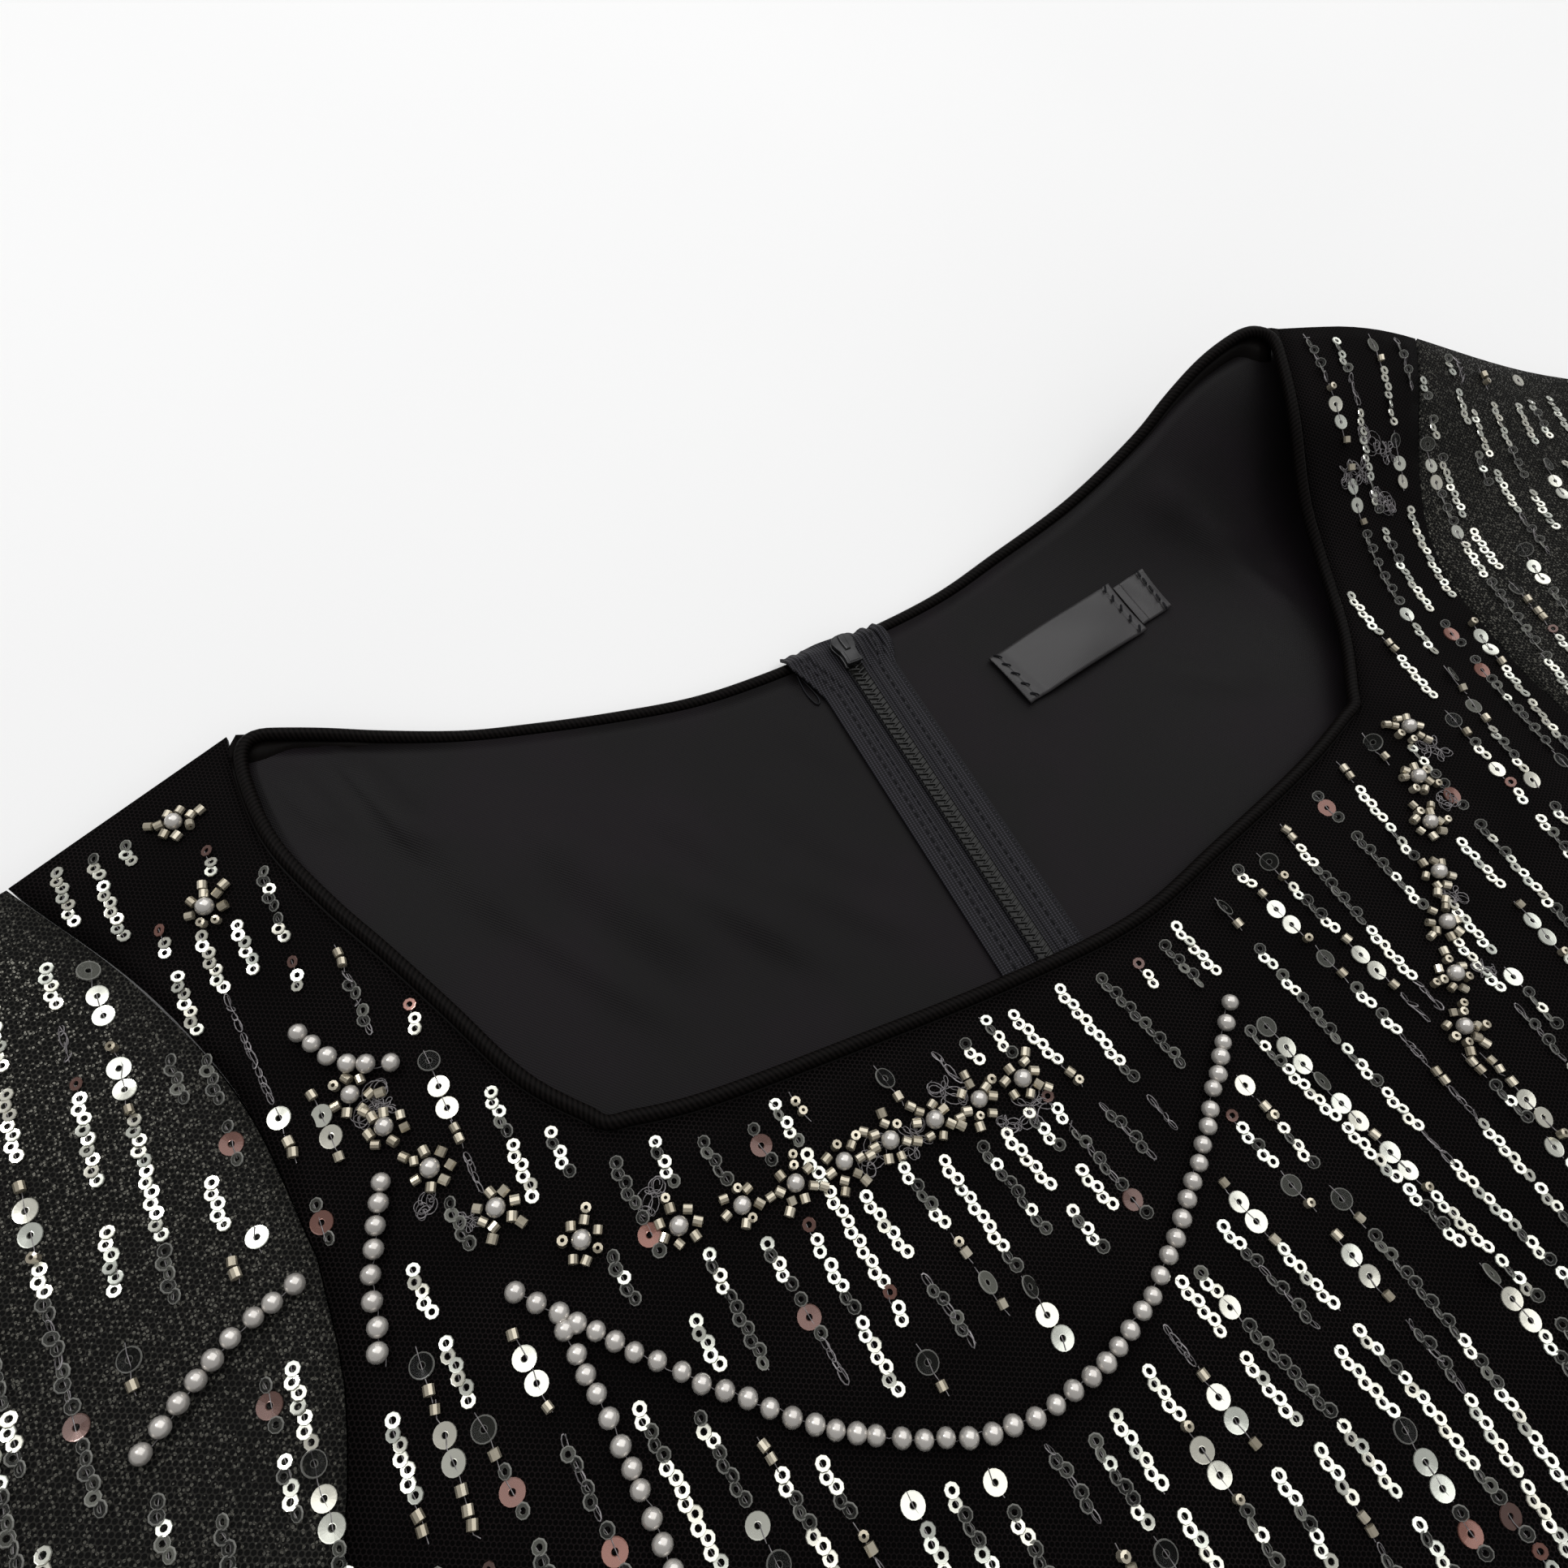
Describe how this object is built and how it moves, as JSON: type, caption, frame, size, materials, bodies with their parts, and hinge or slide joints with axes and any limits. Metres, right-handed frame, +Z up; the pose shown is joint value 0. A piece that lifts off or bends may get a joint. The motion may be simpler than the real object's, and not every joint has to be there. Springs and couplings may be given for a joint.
{
  "type": "beaded maxi dress",
  "caption": "Long beaded net dress laid flat, front up, with a wide square corded neck, a lined back with a concealed zip, short sheer sleeves and a flared skirt.",
  "frame": {"origin": "on the surface that the dress lies on, under the middle of its bounding box", "axes": "+Y from the hem to the neck, +Z up from the surface through the back to the front, +X to the wearer's left, which is the right of the picture"},
  "size_m": [0.8, 1.4538, 0.0397],
  "materials": {
    "beaded_net": "black net over black lining, worked with strands of sequins, beads and pearls",
    "lining_cloth": "soft black fine twill with a low sheen",
    "sheer_net": "sheer dark grey net with fine silver glitter",
    "piping_cloth": "black corded piping with a low sheen",
    "zip_tape": "blue-black woven tape, ribbed along its length",
    "zip_coil": "black nylon coil",
    "zip_metal": "dark gunmetal paint, satin",
    "label_cloth": "black woven satin, blank"
  },
  "bodies": {
    "root": {"front": "beaded_net", "back_left": "beaded_net", "back_right": "beaded_net", "back_lining_left": "lining_cloth", "back_lining_right": "lining_cloth", "sleeve_left": "sheer_net", "sleeve_right": "sheer_net", "neck_piping_front": "piping_cloth", "neck_piping_back_left": "piping_cloth", "neck_piping_back_right": "piping_cloth", "zip_tape_left": "zip_tape", "zip_tape_right": "zip_tape", "zip_coil": "zip_coil", "zip_slider": "zip_metal", "neck_label": "label_cloth", "size_tab": "label_cloth"}
  },
  "joints": []
}
